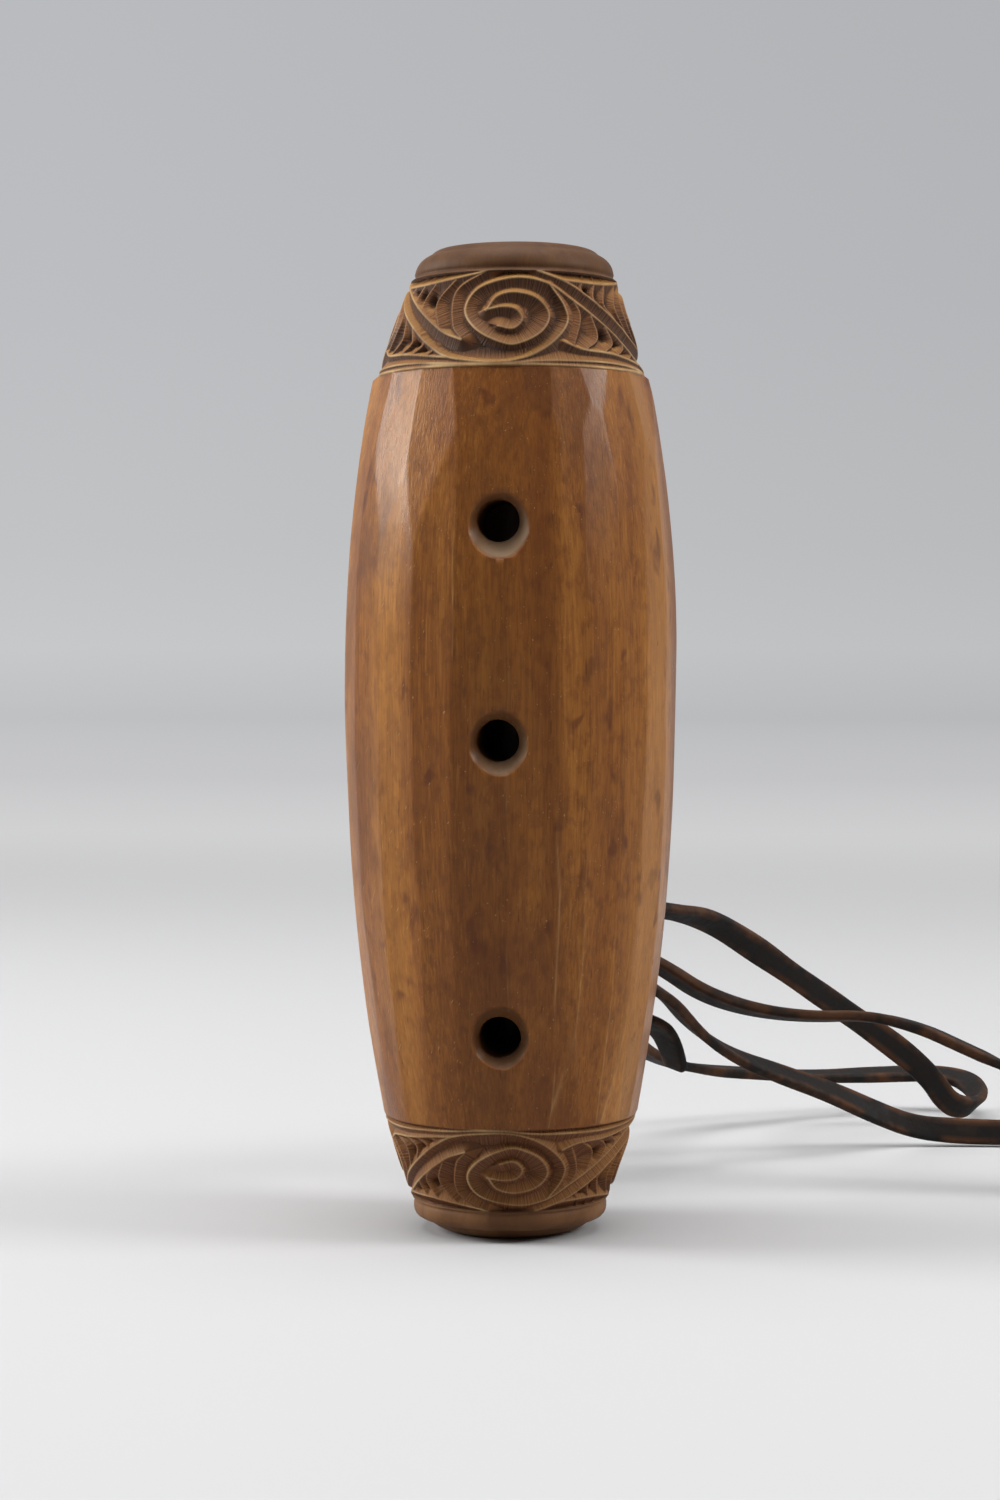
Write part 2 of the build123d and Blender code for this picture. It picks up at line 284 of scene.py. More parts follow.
# Barrel: whittled facets, by angle from the front and half-width in degrees
long_facets = (
    (-69.0, 7.0), (-54.5, 7.5), (-38.5, 8.2), (-22.8, 7.5), (-6.0, 9.6), (12.6, 9.2), (26.7, 5.2),
    (38.7, 7.0), (51.3, 6.0), (64.7, 7.4), (80.0, 8.0), (96.5, 8.5), (113.0, 8.2), (129.5, 8.4),
    (147.0, 9.0), (164.0, 8.0), (180.5, 8.6), (197.5, 8.4), (214.5, 8.6), (231.0, 8.2), (247.0, 8.0),
    (262.5, 7.6), (277.0, 7.2),
)
# Short cuts from an end of the barrel: angle, half-width at that end, height of the point, its lean, and
# its painted shade from 0 pale to 1 dark
mouth_cuts = (
    (-45.5, 9.0, 96.0, 0.0, 0.6), (-28.4, 8.2, 98.0, 0.0, 0.3), (-13.9, 7.2, 111.0, 2.0, 0.8),
    (1.0, 7.4, 104.0, 0.0, 0.4), (14.7, 6.0, 112.0, 2.0, 1.0), (27.1, 6.6, 111.0, -2.0, 0.75),
    (41.4, 6.8, 114.0, 5.5, 0.85), (55.0, 6.4, 98.0, 0.0, 0.6), (-66.0, 8.0, 104.0, 1.0, 0.3),
    (72.0, 8.0, 108.0, -1.0, 0.5), (104.0, 8.0, 102.0, 2.0, 0.3), (138.0, 8.4, 110.0, -3.0, 0.8),
    (171.0, 8.4, 104.0, 1.0, 0.2), (206.0, 8.4, 109.0, 3.0, 0.7), (239.0, 8.4, 101.0, -1.0, 0.4),
)
foot_cuts = (
    (-30.0, 8.0, 40.0, 1.0, 0.5), (30.0, 7.5, 33.0, -1.0, 0.7), (57.0, 7.0, 44.0, 0.0, 0.2),
    (-62.0, 7.0, 36.0, 2.0, 0.6), (120.0, 8.4, 38.0, -2.0, 0.3), (155.0, 8.4, 30.0, 1.0, 0.7),
    (190.0, 8.4, 42.0, 0.0, 0.4), (222.0, 8.4, 34.0, 2.0, 0.8), (255.0, 8.0, 40.0, -1.0, 0.3),
)
mouth_cut_end = 122.0
foot_cut_end = 17.0
mouth_cut_depth = 0.9
foot_cut_depth = 0.15
stroke_depth = 0.06
stroke_length = 23.0
stroke_shift = 7.0
# Width of the painted highlight and shade lines along the edges between cuts
edge_line_width = 0.018
facet_lean = 1.3
lean_length = 14.0
lean_lengths = 5
lean_shift = 2.4
least_cosine = 0.2
crisp_rounding = 0.014
soft_rounding = 0.05
rounding_heights = (88.0, 108.0)
taper_up = 2.0
taper_down = 2.2
# Painted shade of the long cuts, spread by a fixed step, so that the cuts show apart as their angles
# would under the light
long_shade_low = 0.25
long_shade_range = 0.4
long_shade_step = 0.618


def barrel_radius(heights):
    """Half-width of the barrel, widest at the belly."""
    up = np.clip((heights - belly_height) / (top_band_low - belly_height), 0, None)
    down = np.clip((belly_height - heights) / (belly_height - low_band_high), 0, None)
    narrowing_up = (belly_radius - shoulder_radius) * up**taper_up
    narrowing_down = (belly_radius - heel_radius) * down**taper_down
    return belly_radius - narrowing_up - narrowing_down


def facet_planes(angles, heights):
    """Distance from the axis to each cut's plane, at angles from the front, in degrees, and heights."""
    full = barrel_radius(heights)
    for number, (centre, half_width) in enumerate(long_facets):
        wave = heights / (lean_length + number % lean_lengths) + lean_shift * number
        stroke = math.pi * (heights + stroke_shift * number) / stroke_length
        away = np.radians(turned(angles - centre - facet_lean * np.sin(wave)))
        close = math.cos(math.radians(half_width))
        depth = stroke_depth * np.abs(np.sin(stroke))
        yield (full * close - depth) / np.maximum(np.cos(away), least_cosine)
    for cuts, wide_end, depth in (
        (mouth_cuts, mouth_cut_end, mouth_cut_depth),
        (foot_cuts, foot_cut_end, foot_cut_depth),
    ):
        for centre, half_width, point, point_lean, _ in cuts:
            share = np.clip((heights - point) / (wide_end - point), -1.0, 1.0)
            away = np.radians(turned(angles - centre - point_lean * (1 - share)))
            close = 1 - np.sign(share) * (1 - np.cos(np.radians(half_width * share)))
            yield (full * close - depth * share) / np.maximum(np.cos(away), least_cosine)


def faceted_radius(angles, heights):
    """Radius of the whittled barrel, with the edges between its cuts a little rounded."""
    full = barrel_radius(heights)
    crispness = smooth_step(heights, *rounding_heights)
    rounding = soft_rounding + (crisp_rounding - soft_rounding) * crispness
    total = sum(np.exp(-(plane - full) / rounding) for plane in facet_planes(angles, heights))
    return full - rounding * np.log(total)


def facet_marks(angles, heights):
    """How near each place is to an edge between two cuts, and the painted shade of the cut that it is on.
    """
    nearest = np.full(len(angles), np.inf)
    second = np.full(len(angles), np.inf)
    cut = np.zeros(len(angles))
    steps = [number * long_shade_step % 1.0 for number in range(len(long_facets))]
    cut_shades = [long_shade_low + long_shade_range * step for step in steps]
    cut_shades += [row[-1] for row in mouth_cuts + foot_cuts]
    for tone, plane in zip(cut_shades, facet_planes(angles, heights)):
        closer = plane < nearest
        second = np.where(closer, nearest, np.minimum(second, plane))
        cut = np.where(closer, tone, cut)
        nearest = np.minimum(nearest, plane)
    return np.exp(-(second - nearest) / edge_line_width), cut


# Flute: its outline, as rows of (radius, height) with a name for each stretch
def bulged(start, end, bulge, step):
    """Points from start to end, on a line that swells sideways by bulge. The end is left out."""
    start, end = np.array(start, float), np.array(end, float)
    run = end - start
    span = np.hypot(*run)
    count = max(2, round(span / step))
    share = np.linspace(0, 1, count, endpoint=False)[:, None]
    side = np.array((run[1], -run[0])) / span
    return start + run * share + side * bulge * 4 * share * (1 - share)


def rounded(start, corner, end, count):
    """Points from start to end, round a corner. The end is left out."""
    start, corner, end = (np.array(point, float) for point in (start, corner, end))
    share = np.linspace(0, 1, count, endpoint=False)[:, None]
    return start * (1 - share) ** 2 + corner * 2 * share * (1 - share) + end * share**2


def outline():
    low_groove = (low_collar_radius - groove_depth, low_band_low)
    low_collar = (low_collar_radius, low_band_low - groove_height)
    low_start = (low_band_radius, low_band_low + groove_height)
    low_end = (low_band_wide_radius, low_band_high)
    heel = (heel_radius, low_band_high + shoulder_rounding)
    shoulder = (shoulder_radius, top_band_low - shoulder_rounding)
    top_start = (top_band_wide_radius, top_band_low)
    top_end = (top_band_radius, top_band_high - groove_height)
    top_groove = (top_collar_radius - groove_depth, top_band_high)
    top_collar = (top_collar_radius, top_band_high + groove_height)
    rim = bore_radius + bore_rim_rounding
    foot_edge = (foot_radius, 0)
    foot_start = (foot_radius - foot_rounding, 0)
    foot_slope = np.array(low_collar) - np.array(foot_edge)
    foot_end = np.array(foot_edge) + foot_slope * foot_rounding / np.hypot(*foot_slope)
    mouth_edge = (mouth_radius, length)
    mouth_start = (mouth_radius - mouth_rounding, length)
    mouth_slope = np.array(top_collar) - np.array(mouth_edge)
    mouth_end = np.array(mouth_edge) + mouth_slope * mouth_rounding / np.hypot(*mouth_slope)
    bore_top = (bore_radius, length - bore_rim_rounding)
    bore_bottom = (bore_radius, bore_rim_rounding)
    stretches = (
        ("end", bulged((rim, 0), foot_start, 0, plain_step)),
        ("collar", rounded(foot_start, foot_edge, foot_end, foot_round_steps)),
        ("collar", bulged(foot_end, low_collar, foot_bulge, plain_step)),
        ("collar", bulged(low_collar, low_groove, 0, groove_step)),
        ("collar", bulged(low_groove, low_start, 0, groove_step)),
        ("low", bulged(low_start, low_end, band_bulge, band_step)),
        ("ledge", bulged(low_end, heel, 0, groove_step)),
        ("barrel", bulged(heel, shoulder, 0, barrel_step)),
        ("ledge", bulged(shoulder, top_start, 0, groove_step)),
        ("top", bulged(top_start, top_end, band_bulge, band_step)),
        ("collar", bulged(top_end, top_groove, 0, groove_step)),
        ("collar", bulged(top_groove, top_collar, 0, groove_step)),
        ("collar", bulged(top_collar, mouth_end, collar_bulge, plain_step)),
        ("collar", rounded(mouth_end, mouth_edge, mouth_start, round_steps)),
        ("end", bulged(mouth_start, (rim, length), 0, plain_step)),
        ("bore", rounded((rim, length), (bore_radius, length), bore_top, round_steps)),
        ("bore", bulged(bore_top, bore_bottom, 0, bore_step)),
        ("bore", rounded(bore_bottom, (bore_radius, 0), (rim, 0), round_steps)),
    )
    names = np.concatenate([[name] * len(points) for name, points in stretches])
    return names, np.vstack([points for _, points in stretches])


def band_ends(band):
    """Lowest and highest carved height of a band."""
    if band == "top":
        return top_band_low, top_band_high - groove_height
    return low_band_low + groove_height, low_band_high


def band_up(heights, band):
    """Height up a band from its middle, on the unrolled carving. The lower band's is mirrored."""
    low, high = band_ends(band)
    up = ((heights - low) / (high - low) * 2 - 1) * half_height
    return up if band == "top" else -up


def hand_wobble(angles, heights):
    """Slow unevenness of a hand-cut surface, in mm."""
    turn = np.radians(angles)
    waves = ((3, 11, 0), (5, -7, 1), (2, 19, 2))
    total = sum(np.sin(count * turn + heights / rise + start) for count, rise, start in waves)
    return wobble_depth * total


def make_flute():
    names, rows = outline()
    angles = np.arange(columns) * 360.0 / columns - 180.0
    radii = np.repeat(rows[:, :1], columns, axis=1)
    heights = np.repeat(rows[:, 1:], columns, axis=1)
    fronts = np.repeat(angles[None, :], len(rows), axis=0)
    barrel = names == "barrel"
    radii[barrel] = faceted_radius(fronts[barrel], heights[barrel])
    ledge = names == "ledge"
    facets_there = faceted_radius(fronts[ledge], np.clip(heights[ledge], low_band_high, top_band_low))
    radii[ledge] = np.minimum(radii[ledge], facets_there)
    for band in ("top", "low"):
        rows_there = names == band
        carved, _ = sample_carving(fronts[rows_there], band_up(heights[rows_there], band), band)
        radii[rows_there] += carved
    outside = names != "bore"
    off_bore = radii[outside] > bore_radius + bore_wall
    radii[outside] += hand_wobble(fronts[outside], heights[outside]) * off_bore
    turn = np.radians(fronts + FRONT)
    points = np.stack((radii * np.cos(turn), radii * np.sin(turn), heights), axis=-1)
    points = points.reshape(-1, 3) * MM
    row_count = len(rows)
    row, column = np.meshgrid(np.arange(row_count), np.arange(columns), indexing="ij")
    next_row, next_column = (row + 1) % row_count, (column + 1) % columns
    corners = (
        row * columns + column,
        row * columns + next_column,
        next_row * columns + next_column,
        next_row * columns + column,
    )
    faces = np.stack(corners, axis=-1).reshape(-1, 4)
    mesh = bpy.data.meshes.new("flute")
    mesh.vertices.add(len(points))
    mesh.vertices.foreach_set("co", points.ravel())
    mesh.loops.add(faces.size)
    mesh.loops.foreach_set("vertex_index", faces.ravel())
    mesh.polygons.add(len(faces))
    mesh.polygons.foreach_set("loop_start", np.arange(0, faces.size, 4))
    mesh.update(calc_edges=True)
    mesh.validate()
    return add_object("flute", mesh)


def mesh_points(mesh):
    points = np.empty(len(mesh.vertices) * 3)
    mesh.vertices.foreach_get("co", points)
    return points.reshape(-1, 3)


def lean_top(flute):
    """Leads the outside of the mouth end a little sideways, as in a hand-cut flute."""
    mesh = flute.data
    points = mesh_points(mesh)
    share = np.clip((points[:, 2] / MM - lean_start) / (length - lean_start), 0, None) ** 2
    past_bore = np.hypot(points[:, 0], points[:, 1]) / MM - bore_radius
    points[:, 0] += top_lean * MM * share * smooth_step(past_bore, *lean_fade)
    mesh.vertices.foreach_set("co", points.ravel())
    mesh.update()


def lathe_cutter(name, profile, place, direction, sides=96):
    """A closed turned solid to cut with: profile is (radius, depth), direction points out of the wood."""
    points = []
    for radius, depth in profile:
        for number in range(sides):
            turn = 2 * math.pi * number / sides
            points.append((radius * math.cos(turn), radius * math.sin(turn), depth))
    mesh = bpy.data.meshes.new(name)
    turn_to = Vector(direction).to_track_quat("Z", "Y")
    placed = [(turn_to @ Vector(point) + Vector(place)) * MM for point in points]
    mesh.from_pydata(placed, [], ring_faces(len(profile), sides))
    mesh.update()
    return add_object(name, mesh)


def cut_holes(flute):
    """Cuts the flared finger holes and the two slanted drillings of the thong's tunnel."""
    cutters = []
    for height in finger_hole_heights:
        wall = float(faceted_radius(np.array([0.0]), np.array([height]))[0])
        bore_profile = [(finger_hole_radius, -wall + bore_wall), (finger_hole_radius, cutter_past)]
        cutters.append(lathe_cutter("finger_hole", bore_profile, (0, -wall, height), (0, -1, 0)))
        root = finger_hole_radius - flare_root
        flare_profile = []
        for share in np.linspace(0.0, 1.0, flare_rings):
            flare = root + (finger_mouth_radius - root) * share**flare_power
            flare_profile.append((flare, -finger_mouth_depth * (1 - share)))
        for widening, out in flare_lips:
            flare_profile.append((finger_mouth_radius + widening, out))
        flare_place = (flare_shift[0], -wall, height + flare_shift[1])
        cutters.append(lathe_cutter("finger_flare", flare_profile, flare_place, (0, -1, 0)))
    meeting = float(barrel_radius(np.array([tunnel_height]))[0]) - tunnel_spacing / 2
    for side in (-1, 1):
        profile = [(tunnel_radius, 0.0), (tunnel_radius, tunnel_spacing)]
        cutters.append(lathe_cutter("tunnel", profile, (0, meeting, tunnel_height), (0, 1, side)))
    for cutter in cutters:
        cut = flute.modifiers.new("cut", "BOOLEAN")
        cut.operation = "DIFFERENCE"
        cut.solver = "MANIFOLD"
        cut.object = cutter
        bpy.context.view_layer.objects.active = flute
        bpy.ops.object.modifier_apply(modifier=cut.name)
    for cutter in cutters:
        bpy.data.objects.remove(cutter)


def add_attribute(mesh, name, values):
    attribute = mesh.attributes.new(name, "FLOAT", "POINT")
    attribute.data.foreach_set("value", np.asarray(values, np.float32))


# Streaks of the wood: angle from the front, width, strength. The dark ones at the front are partly
# painted shade, and the pale ones to the left and right are partly painted light.
dark_streaks_and_front_shade = (
    (3.0, 14.0, 0.65), (19.0, 5.0, 0.5), (-31.0, 4.0, 0.3), (38.0, 9.0, 0.5), (88.0, 9.0, 0.5),
    (128.0, 12.0, 0.8), (-100.0, 10.0, 0.6),
)
pale_streaks_and_side_light = (
    (66.0, 12.0, 0.75), (-42.0, 13.0, 0.5), (-78.0, 12.0, 0.6), (165.0, 14.0, 0.6), (-140.0, 10.0, 0.5),
)
streak_wander = 2.5
wander_length = 21.0


def streak_strength(angles, heights, streaks):
    total = np.zeros(len(angles))
    for centre, width, strength in streaks:
        wander = streak_wander * np.sin(heights / wander_length + centre)
        total += strength * np.exp(-((turned(angles - centre - wander) / width) ** 2))
    return total


# Marks on the flute, in mm: edges of the collars' tone, and depths of the holes' rims and of the painted
# shade deep in the holes
collar_fade = (-0.75, -0.3)
barrel_margin = 0.3
band_wall = 1.5
bore_skin = 0.5
inside_shade_depths = (2.2, 6.0)
rim_depths = (0.08, 0.5)
# The rims are painted pale towards one side and below, most at the upper hole: a painted highlight where
# each flare's lower flank faces the light
rim_highlight_side = (0.55, -0.85)
rim_highlight_reach = (-1.5, 4.0)
rim_highlight_heights = (35.0, 95.0)
rim_highlight_strengths = (0.3, 1.0)
hole_reach = 8.0


def mark_bands(mesh, radii, angles, heights):
    """Writes how deep the carving is, where the bands are, and the way along the carved lines."""
    carved, along, in_band = np.zeros((3, len(heights)))
    for band in spiral_angles:
        low, high = band_ends(band)
        there = (heights >= low) & (heights <= high) & (radii > bore_radius + band_wall)
        height, way = sample_carving(angles[there], band_up(heights[there], band), band)
        carved[there] = np.clip(-height / carving_depth, 0, 2)
        along[there] = way
        in_band[there] = 1.0
    add_attribute(mesh, "carved", carved)
    add_attribute(mesh, "in_band", in_band)
    add_attribute(mesh, "along", along)
    low_collar = smooth_step(low_band_low - heights, *collar_fade)
    top_collar = smooth_step(heights - top_band_high, *collar_fade)
    add_attribute(mesh, "collar", np.maximum(low_collar, top_collar))


def mark_flute(flute):
    """Writes what the wood's material reads: bands, streaks with painted shade and light, each cut's
    painted shade, painted highlights and shade along the edges between cuts, and the holes with painted
    rim highlights and painted shade deep in them.
    """
    mesh = flute.data
    points = mesh_points(mesh) / MM
    radii = np.hypot(points[:, 0], points[:, 1])
    angles = turned(np.degrees(np.arctan2(points[:, 1], points[:, 0])) - FRONT)
    heights = points[:, 2]
    mark_bands(mesh, radii, angles, heights)
    # Wood streaks, partly painted shade at the front and painted light at the sides
    add_attribute(mesh, "streak", streak_strength(angles, heights, dark_streaks_and_front_shade))
    add_attribute(mesh, "pale", streak_strength(angles, heights, pale_streaks_and_side_light))
    at_barrel = np.clip(heights, low_band_high, top_band_low)
    # How near an edge between two cuts each place is, where the material paints highlights and shade
    worn, cut = facet_marks(angles, at_barrel)
    on_barrel = (heights > low_band_high + barrel_margin) & (heights < top_band_low - barrel_margin)
    add_attribute(mesh, "worn", worn * on_barrel)
    # The painted shade of each cut
    add_attribute(mesh, "cut", np.where(on_barrel, cut, 0.5))
    depth = np.where(on_barrel, np.clip(faceted_radius(angles, at_barrel) - radii, 0, None), 0.0)
    in_bore = radii < bore_radius + bore_skin
    # Painted shade within the bore and deep in the holes
    add_attribute(mesh, "inside", np.where(in_bore, 1.0, smooth_step(depth, *inside_shade_depths)))
    rim = np.where(on_barrel, smooth_step(depth, *rim_depths), 0.0)
    drops = heights[None, :] - np.array(finger_hole_heights)[:, None]
    nearest = np.abs(drops).argmin(axis=0)
    drop = drops[nearest, np.arange(len(heights))]
    # Painted highlight on the lower flank of each hole's flare
    rubbed = smooth_step(rim_highlight_side[0] * points[:, 0] + rim_highlight_side[1] * drop, *rim_highlight_reach)
    rubbed = rubbed * np.interp(heights, rim_highlight_heights, rim_highlight_strengths)
    add_attribute(mesh, "rim", rim)
    add_attribute(mesh, "rubbed", rim * rubbed * (np.abs(drop) < hole_reach))


# Materials
class Nodes:
    """Short calls to build a material's node tree."""

    def __init__(self, name):
        self.material = bpy.data.materials.new(name)
        self.material.use_nodes = True
        self.tree = self.material.node_tree
        self.shader = self.tree.nodes["Principled BSDF"]

    def link(self, source, socket):
        if hasattr(source, "is_output"):
            self.tree.links.new(source, socket)
        else:
            socket.default_value = source

    def attribute(self, name):
        node = self.tree.nodes.new("ShaderNodeAttribute")
        node.attribute_name = name
        return node.outputs["Fac"]

    def place(self, scale, turn=(0.0, 0.0, 0.0)):
        """Object coordinates in metres, turned and then stretched by scale."""
        node = self.tree.nodes.new("ShaderNodeTexCoord")
        mapping = self.tree.nodes.new("ShaderNodeMapping")
        mapping.vector_type = "TEXTURE"
        mapping.inputs["Rotation"].default_value = turn
        mapping.inputs["Scale"].default_value = [1 / step for step in scale]
        self.tree.links.new(node.outputs["Object"], mapping.inputs["Vector"])
        return mapping.outputs["Vector"]

    def axes(self):
        """The three object coordinates, in metres."""
        node = self.tree.nodes.new("ShaderNodeTexCoord")
        parts = self.tree.nodes.new("ShaderNodeSeparateXYZ")
        self.tree.links.new(node.outputs["Object"], parts.inputs[0])
        return parts.outputs

    def facing_up(self):
        """How far the surface faces up: 1 for a top, -1 for an underside."""
        node = self.tree.nodes.new("ShaderNodeNewGeometry")
        parts = self.tree.nodes.new("ShaderNodeSeparateXYZ")
        self.tree.links.new(node.outputs["Normal"], parts.inputs[0])
        return parts.outputs["Z"]

    def ramp(self, value, stops):
        node = self.tree.nodes.new("ShaderNodeValToRGB")
        self.link(value, node.inputs["Fac"])
        marks = node.color_ramp.elements
        while len(marks) < len(stops):
            marks.new(1.0)
        for mark, (place, tone) in zip(marks, stops):
            mark.position = place
            mark.color = tone
        return node.outputs["Color"]

    def noise(self, scale, detail=3.0, roughness=0.55, distortion=0.0, turn=(0.0, 0.0, 0.0)):
        node = self.tree.nodes.new("ShaderNodeTexNoise")
        self.link(self.place(scale, turn), node.inputs["Vector"])
        node.inputs["Scale"].default_value = 1.0
        node.inputs["Detail"].default_value = detail
        node.inputs["Roughness"].default_value = roughness
        node.inputs["Distortion"].default_value = distortion
        return node.outputs["Fac"]

    def line_noise(self, way, scale):
        node = self.tree.nodes.new("ShaderNodeTexNoise")
        node.noise_dimensions = "1D"
        self.link(way, node.inputs["W"])
        node.inputs["Scale"].default_value = scale
        node.inputs["Detail"].default_value = 2.0
        return node.outputs["Fac"]

    def span(self, value, low, high, to_low=0.0, to_high=1.0, smooth=True):
        node = self.tree.nodes.new("ShaderNodeMapRange")
        node.interpolation_type = "SMOOTHSTEP" if smooth else "LINEAR"
        self.link(value, node.inputs["Value"])
        node.inputs["From Min"].default_value = low
        node.inputs["From Max"].default_value = high
        node.inputs["To Min"].default_value = to_low
        node.inputs["To Max"].default_value = to_high
        return node.outputs["Result"]

    def math(self, operation, first, second=0.0):
        node = self.tree.nodes.new("ShaderNodeMath")
        node.operation = operation
        self.link(first, node.inputs[0])
        self.link(second, node.inputs[1])
        return node.outputs[0]

    def mix(self, share, first, second, blend="MIX"):
        node = self.tree.nodes.new("ShaderNodeMix")
        node.data_type = "RGBA"
        node.blend_type = blend
        self.link(share, node.inputs[0])
        self.link(first, node.inputs[6])
        self.link(second, node.inputs[7])
        return node.outputs[2]

    def both(self, first, second):
        return self.math("MULTIPLY", first, second)

    def tint(self, tone, value, low, high, strength, other):
        """A tone, led towards another colour as value goes from low to high."""
        return self.mix(self.span(value, low, high, 0.0, strength), tone, other)

    def bump(self, height, distance, strength=1.0, under=None):
        node = self.tree.nodes.new("ShaderNodeBump")
        self.link(height, node.inputs["Height"])
        node.inputs["Distance"].default_value = distance
        node.inputs["Strength"].default_value = strength
        if under is not None:
            self.link(under, node.inputs["Normal"])
        return node.outputs["Normal"]


def colour(red, green, blue):
    """A colour given in sRGB steps of 0 to 255."""
    steps = [channel / 255 for channel in (red, green, blue)]
    linear = [step / 12.92 if step <= 0.04045 else ((step + 0.055) / 1.055) ** 2.4 for step in steps]
    return (*linear, 1.0)


def wood_tone(n):
    """Colour of the wood: boards, fibres, streaks, spots, pores and scratches, with painted shade on each
    cut and in the dark streaks at the front, and painted light in the pale streaks at the sides.
    """
    board = n.noise((110, 110, 8), 3.0, 0.5, 0.5)
    fibre = n.noise((900, 900, 42), 4.0, 0.6, 0.3)
    fine = n.noise((3400, 3400, 150), 3.0, 0.65, 0.2)
    mottle = n.noise((700, 700, 420), 3.0, 0.6)
    patina = n.noise((75, 75, 40), 4.0, 0.62, 0.5)
    spots = n.noise((300, 300, 150), 2.0, 0.5, 0.4)
    pores = n.noise((3000, 3000, 240), 2.0, 0.5)
    scratches = n.noise((5200, 5200, 150), 0.0, 0.5, turn=(0.5, 0.35, 0.0))
    streak = n.both(n.attribute("streak"), n.span(board, 0.25, 0.6, 0.55, 1.0))
    plain_cut, shaded_cut = (0.95, 0.96, 0.97, 1.0), (0.6, 0.58, 0.58, 1.0)
    tone = n.mix(n.span(board, 0.36, 0.66), colour(158, 96, 42), colour(196, 128, 58))
    tone = n.tint(tone, fibre, 0.38, 0.68, 0.36, colour(132, 75, 33))
    tone = n.tint(tone, fine, 0.42, 0.66, 0.42, colour(118, 67, 34))
    tone = n.tint(tone, fine, 0.44, 0.28, 0.32, colour(214, 150, 80))
    tone = n.tint(tone, mottle, 0.45, 0.66, 0.42, colour(118, 67, 36))
    # Dark streaks, partly painted shade at the front, and pale streaks, partly painted light at the sides
    tone = n.tint(tone, streak, 0.05, 0.95, 0.75, colour(112, 58, 25))
    tone = n.tint(tone, n.attribute("pale"), 0.05, 0.95, 0.5, colour(214, 150, 76))
    tone = n.tint(tone, patina, 0.48, 0.72, 0.55, colour(112, 65, 37))
    # Each cut is darkened by its painted shade, which stands in for the light that its angle catches
    shade = n.ramp(n.attribute("cut"), ((0.0, plain_cut), (1.0, shaded_cut)))
    tone = n.mix(1.0, tone, shade, "MULTIPLY")
    tone = n.tint(tone, spots, 0.6, 0.74, 0.62, colour(88, 44, 27))
    tone = n.tint(tone, pores, 0.64, 0.74, 0.5, colour(78, 44, 23))
    tone = n.tint(tone, scratches, 0.79, 0.86, 0.4, colour(212, 172, 122))
    return tone, fine, patina


def edge_light_and_shade_tone(n, tone):
    """The edges between the cuts, painted pale in places and dark in others: painted highlights and
    painted shade along the edges, partly wear as well.
    """
    worn = n.attribute("worn")
    edge_mark_noise = n.noise((60, 60, 22), 2.0, 0.5)
    # Painted highlights on the edges in places, and painted shade on them in others
    tone = n.mix(n.both(worn, n.span(edge_mark_noise, 0.54, 0.66, 0.0, 0.45)), tone, colour(210, 164, 108))
    return n.mix(n.both(worn, n.span(edge_mark_noise, 0.48, 0.36, 0.0, 0.5)), tone, colour(74, 45, 26))


def band_tone(n, tone, marks, carved, in_band, patina, up):
    """The carved bands: tool-marked cuts, with painted shade where they face down and deep in the
    channels, and painted light where they face up.
    """
    tool = n.span(marks, 0.36, 0.62)
    gouged = n.mix(tool, colour(96, 61, 38), colour(142, 94, 54))
    mouth_shade = n.mix(tool, colour(44, 28, 21), colour(80, 52, 36))
    foot_shade = n.mix(tool, colour(88, 54, 36), colour(126, 79, 50))
    # Painted shade for the flanks that face down and for the channels' depths, paler in the low band
    shaded = n.mix(n.span(up, 0.03, 0.1), foot_shade, mouth_shade)
    facing = n.math("ADD", n.facing_up(), n.span(up, 0.02, 0.03, 0.5, 0.0))
    # Painted light on the flanks that face up, weaker in the low band
    painted_light = n.both(n.span(facing, 0.5, 0.9, 0.0, 0.65), n.span(up, 0.02, 0.1, 0.25, 1.0))
    # Pale lines on the crests, partly worn ridges and partly a painted highlight along them
    crest = n.both(n.span(carved, 0.0, 0.12, 0.85, 0.0), n.span(patina, 0.3, 0.6, 1.0, 0.3))
    for share, other in (
        (0.8, gouged),
        (n.span(facing, 0.35, -0.15, 0.0, 0.85), shaded),
        (painted_light, colour(184, 134, 68)),
        # Painted shade in the deeper channels, darkest in the slots
        (n.span(carved, 0.5, 0.92, 0.0, 0.8), shaded),
        (n.span(carved, 0.9, 1.35), colour(40, 25, 17)),
        (crest, colour(212, 178, 128)),
    ):
        tone = n.mix(n.both(in_band, share), tone, other)
    return tone


def end_tone(n, tone, patina, up):
    """The collars, with the foot collar painted paler to make up for the shade it lies in, and the rims
    and insides of the holes, with a painted highlight on each rim and painted shade deep in the holes.
    """
    aged = n.span(patina, 0.35, 0.65)
    mouth_collar = n.mix(aged, colour(88, 62, 40), colour(68, 46, 30))
    # The foot collar is painted paler than the mouth collar: painted light that makes up for the shade it
    # lies in below the wide low band
    foot_collar_with_painted_light = n.mix(aged, colour(138, 100, 68), colour(104, 72, 48))
    collar = n.mix(n.span(up, 0.06, 0.08), foot_collar_with_painted_light, mouth_collar)
    for name, strength, other in (
        ("collar", 0.8, collar),
        ("rim", 0.6, colour(84, 60, 42)),
        # Painted highlight on the holes' flares
        ("rubbed", 0.9, colour(152, 126, 100)),
        # Painted shade within the bore and deep in the holes
        ("inside", 1.0, colour(58, 40, 28)),
    ):
        tone = n.mix(n.both(n.attribute(name), strength), tone, other)
    return tone


